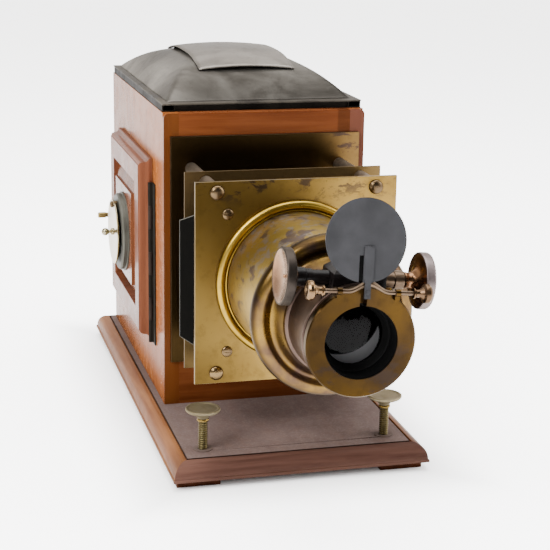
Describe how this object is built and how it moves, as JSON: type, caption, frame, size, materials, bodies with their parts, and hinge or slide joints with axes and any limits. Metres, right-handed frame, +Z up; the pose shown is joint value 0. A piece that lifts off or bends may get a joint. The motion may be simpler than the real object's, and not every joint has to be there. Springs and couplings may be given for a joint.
{
  "type": "magic lantern",
  "caption": "Wooden lantern slide projector: vented lamp house with a side door and lift-off tin roof, sprung brass slide stage, rack focused lens with a swing flasher, levelling screws.",
  "frame": {"origin": "on the standing plane, under the point where the lens axis meets the front board of the lamp house", "axes": "+X to the right seen from the lens, +Y back from the lens along the light path, +Z up"},
  "size_m": [0.2109, 0.5332, 0.2956],
  "materials": {
    "mahogany_base": "worn satin",
    "mahogany_house": "french polished",
    "mahogany_door": "french polished, worn",
    "tin_roof": "dull, stained",
    "black_tin": "matt black",
    "stage_brass": "tarnished",
    "black_plate": "black, worn at the edges",
    "steel_wire": "dull",
    "condenser_brass": "lacquered",
    "clear_glass": "polished",
    "lacquered_brass": "lacquered, worn",
    "bronzed_brass": "bronzed",
    "black_housing": "gloss black",
    "gear_brass": "bare",
    "grey_blade": "matt",
    "black_hinge": "dull black",
    "latch_brass": "polished",
    "zinc_bezel": "dull",
    "dark_glass": "polished",
    "polished_cover": "polished",
    "screw_brass": "dull"
  },
  "bodies": {
    "lantern": {"base_board": "mahogany_base", "base_moulding": "mahogany_base", "base_feet": "mahogany_base", "screw_bushes": "screw_brass", "side_board_left": "mahogany_house", "side_board_right": "mahogany_house", "front_rails": "mahogany_house", "front_panel": "mahogany_house", "back_frame": "mahogany_house", "tin_lining": "black_tin", "tray_runners": "mahogany_house", "back_plate": "stage_brass", "middle_plate": "stage_brass", "front_plate": "stage_brass", "stage_pillars": "stage_brass", "pillar_heads": "stage_brass", "guide_pins": "steel_wire", "guide_screws": "stage_brass", "stage_springs": "steel_wire", "condenser_cell": "condenser_brass", "condenser_rings": "condenser_brass", "condenser_lens_rear": "clear_glass", "condenser_lens_front": "clear_glass", "tube_flange": "lacquered_brass", "front_tube": "lacquered_brass", "tube_shoulder": "bronzed_brass", "lens_jacket": "bronzed_brass", "pinion_housing": "black_housing", "body_hinge_leaf": "black_hinge", "hinge_pin": "steel_wire"},
    "lens": {"lens_tube": "bronzed_brass", "focus_rack": "gear_brass", "lens_hood": "bronzed_brass", "front_lens": "clear_glass", "rear_lens": "clear_glass", "flasher_lugs": "bronzed_brass"},
    "pinion": {"focus_pinion": "gear_brass", "focus_knobs": "bronzed_brass"},
    "flasher": {"flasher_rod": "steel_wire", "flasher_nuts": "bronzed_brass", "flasher_disc": "grey_blade"},
    "pressure": {"pressure_plate": "black_plate"},
    "roof": {"roof_dome": "tin_roof", "roof_frame": "tin_roof", "roof_cap": "tin_roof", "cap_posts": "black_tin"},
    "door": {"door_frame": "mahogany_door", "door_moulding": "mahogany_door", "door_panel": "mahogany_door", "door_hinge_leaf": "black_hinge", "sight_bezel": "zinc_bezel", "sight_glass": "dark_glass", "sight_pivot": "latch_brass"},
    "latch": {"door_latch": "latch_brass"},
    "cover": {"sight_cover": "polished_cover"},
    "screw_left": {"screw_shank_left": "screw_brass"},
    "head_left": {"screw_head_left": "screw_brass"},
    "screw_right": {"screw_shank_right": "screw_brass"},
    "head_right": {"screw_head_right": "screw_brass"}
  },
  "joints": [
    {"name": "focus_slide", "type": "slide", "parent": "lantern", "child": "lens", "axis": [0, -1, 0], "range_m": [0, 0.035]},
    {"name": "focus_turn", "type": "hinge", "parent": "lantern", "child": "pinion", "pos_m": [0.00302, -0.2254, 0.18107], "axis": [0.9963, 0, -0.0854], "range_deg": [-560, 2]},
    {"name": "flasher_swing", "type": "hinge", "parent": "lens", "child": "flasher", "pos_m": [0.00297, -0.2568, 0.18047], "axis": [0.9963, 0, -0.0854], "range_deg": [-10, 180]},
    {"name": "pressure_slide", "type": "slide", "parent": "lantern", "child": "pressure", "axis": [0, 1, 0], "range_m": [0, 0.0168], "stiffness_N_per_m": 150, "springref_m": -0.01, "deforming": ["stage_springs"]},
    {"name": "roof_lift", "type": "slide", "parent": "lantern", "child": "roof", "axis": [0, 0, 1], "range_m": [0, 0.06]},
    {"name": "door_swing", "type": "hinge", "parent": "lantern", "child": "door", "pos_m": [-0.0837, 0.0472, 0.137], "axis": [0, 0, 1], "range_deg": [0, 110]},
    {"name": "latch_turn", "type": "hinge", "parent": "door", "child": "latch", "pos_m": [-0.093, 0.187, 0.137], "axis": [-1, 0, 0], "range_deg": [0, 90]},
    {"name": "cover_swing", "type": "hinge", "parent": "door", "child": "cover", "pos_m": [-0.1017, 0.128, 0.1594], "axis": [1, 0, 0], "range_deg": [-115, 115]},
    {"name": "leveller_left", "type": "slide", "parent": "lantern", "child": "screw_left", "axis": [0, 0, -1], "range_m": [-0.008, 0.02]},
    {"name": "leveller_head_left", "type": "hinge", "parent": "screw_left", "child": "head_left", "pos_m": [-0.071, -0.1012, 0.05], "axis": [0, 0, -1], "range_deg": [-1925, 4805]},
    {"name": "leveller_right", "type": "slide", "parent": "lantern", "child": "screw_right", "axis": [0, 0, -1], "range_m": [-0.008, 0.02]},
    {"name": "leveller_head_right", "type": "hinge", "parent": "screw_right", "child": "head_right", "pos_m": [0.071, -0.1012, 0.05], "axis": [0, 0, -1], "range_deg": [-1925, 4805]}
  ],
  "couplings": [
    {"joint": "focus_turn", "follows": "focus_slide", "rad_per_m": -277.78},
    {"joint": "leveller_head_left", "follows": "leveller_left", "rad_per_m": 4188.8},
    {"joint": "leveller_head_right", "follows": "leveller_right", "rad_per_m": 4188.8}
  ]
}
